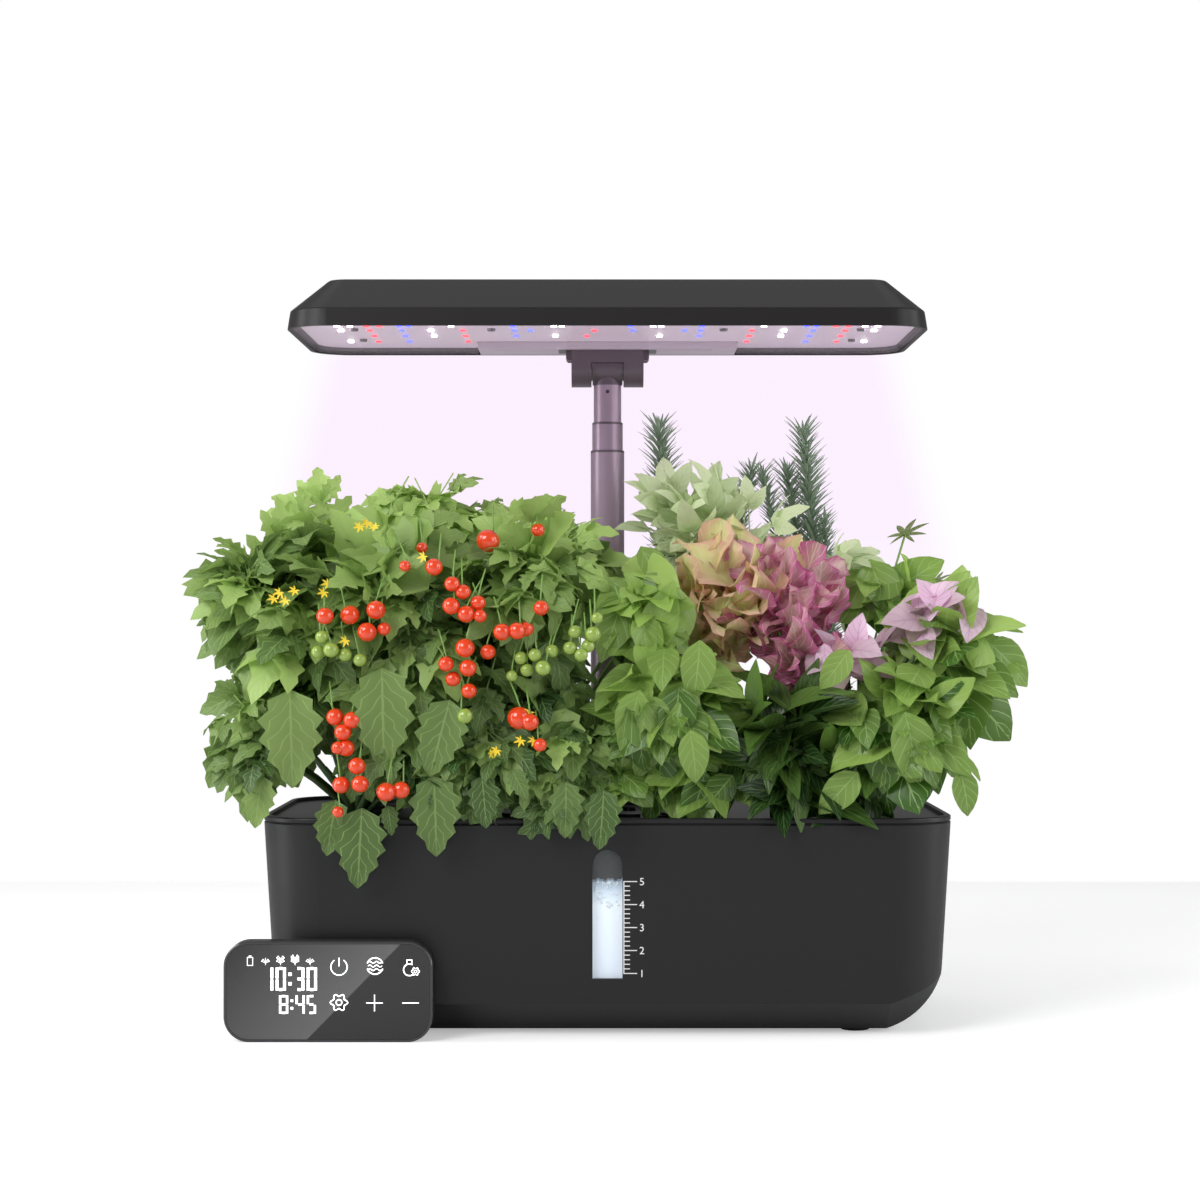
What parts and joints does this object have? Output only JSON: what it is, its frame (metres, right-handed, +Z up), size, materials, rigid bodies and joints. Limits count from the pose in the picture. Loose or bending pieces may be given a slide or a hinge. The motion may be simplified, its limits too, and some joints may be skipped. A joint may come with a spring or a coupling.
{
  "type": "countertop hydroponic garden",
  "caption": "Countertop hydroponic garden: black water tank with level window, planting deck of pods with herbs and tomatoes, tilting grow lamp on a telescopic mast, and a control pad.",
  "frame": {"origin": "on the table, under the middle of the tank", "axes": "+Z up, +X to the right seen from the front, -Y towards the person in front"},
  "size_m": [0.4847, 0.2346, 0.455],
  "materials": {
    "tank_black": "satin",
    "deck_black": "satin",
    "window_clear": "gloss",
    "seal_rubber": "matte",
    "foot_rubber": "matte",
    "pump_black": "matte",
    "impeller_white": "gloss",
    "riser_clear": "satin",
    "basket_black": "satin",
    "sponge_brown": "matte",
    "mast_metal": "satin",
    "mast_trim": "satin",
    "bush_white": "satin",
    "screw_steel": "satin",
    "pin_steel": "satin",
    "inlet_metal": "polished",
    "lamp_black": "satin",
    "lens_clear": "gloss",
    "board_white": "satin",
    "led_white": "gloss",
    "led_red": "gloss",
    "led_blue": "gloss",
    "circuit_green": "satin",
    "pad_black": "gloss",
    "pad_case": "satin",
    "pad_glass": "polished",
    "display_dark": "gloss",
    "cell_steel": "satin",
    "tomato_green": "matte",
    "basil_green": "matte",
    "lettuce_red": "matte",
    "rosemary_green": "matte",
    "sage_green": "matte"
  },
  "bodies": {
    "tank": {"tank_shell": "tank_black", "level_window": "window_clear", "window_seal": "seal_rubber", "tank_feet": "foot_rubber", "pump_housing": "pump_black", "pump_cover": "pump_black", "pump_suction_cups": "foot_rubber", "pump_riser": "riser_clear"},
    "impeller": {"pump_impeller": "impeller_white"},
    "deck": {"planting_deck": "deck_black", "flap_pins": "pin_steel", "mast_base": "tank_black", "base_screws": "screw_steel", "power_inlet": "inlet_metal", "mast_lower_tube": "mast_metal", "lower_tube_collar": "mast_trim"},
    "flap": {"fill_flap": "deck_black"},
    "pods": {"grow_baskets": "basket_black", "grow_sponges": "sponge_brown", "pod_collars": "basket_black", "tomato_plants": "tomato_green", "basil_plants": "basil_green", "lettuce_plants": "lettuce_red", "rosemary_plants": "rosemary_green", "sage_plant": "sage_green"},
    "mast_middle": {"mast_middle_tube": "mast_metal", "middle_guide_bush": "bush_white", "middle_tube_collar": "mast_trim"},
    "mast_upper": {"mast_upper_tube": "mast_metal", "upper_guide_bush": "bush_white", "mast_knuckle": "mast_trim", "knuckle_set_screw": "screw_steel"},
    "lamp": {"lamp_yoke": "mast_trim", "hinge_pin": "pin_steel", "hinge_nut": "pin_steel", "hinge_washers": "bush_white", "lamp_cover": "lamp_black", "lamp_lens": "lens_clear", "led_board": "board_white", "leds_white": "led_white", "leds_red": "led_red", "leds_blue": "led_blue", "board_screws": "screw_steel", "driver_cover": "lamp_black", "driver_board": "circuit_green", "yoke_screws": "screw_steel"},
    "control_pad": {"pad_rear_case": "pad_case", "pad_battery_door": "pad_case", "pad_bezel": "pad_black", "pad_glass": "pad_glass", "pad_board": "circuit_green", "pad_display": "display_dark", "pad_cells": "cell_steel"}
  },
  "joints": [
    {"name": "impeller_spin", "type": "hinge", "parent": "tank", "child": "impeller", "pos_m": [0.08, 0, 0.023], "axis": [1, 0, 0], "continuous": true},
    {"name": "deck_lift", "type": "slide", "parent": "tank", "child": "deck", "axis": [0, 0, 1], "range_m": [0, 0.12]},
    {"name": "fill_flap_hinge", "type": "hinge", "parent": "deck", "child": "flap", "pos_m": [0, -0.0358, 0.131], "axis": [-1, 0, 0], "range_deg": [0, 95]},
    {"name": "pods_lift", "type": "slide", "parent": "deck", "child": "pods", "axis": [0, 0, 1], "range_m": [0, 0.058]},
    {"name": "mast_middle_slide", "type": "slide", "parent": "deck", "child": "mast_middle", "axis": [0, 0, 1], "range_m": [-0.0165, 0.07]},
    {"name": "mast_upper_slide", "type": "slide", "parent": "mast_middle", "child": "mast_upper", "axis": [0, 0, 1], "range_m": [-0.024, 0.07]},
    {"name": "lamp_tilt", "type": "hinge", "parent": "mast_upper", "child": "lamp", "pos_m": [0, 0.064, 0.4128], "axis": [-1, 0, 0], "range_deg": [0, 90]},
    {"name": "control_pad_away", "type": "slide", "parent": "tank", "child": "control_pad", "axis": [0, -1, 0], "range_m": [0, 0.1]}
  ]
}
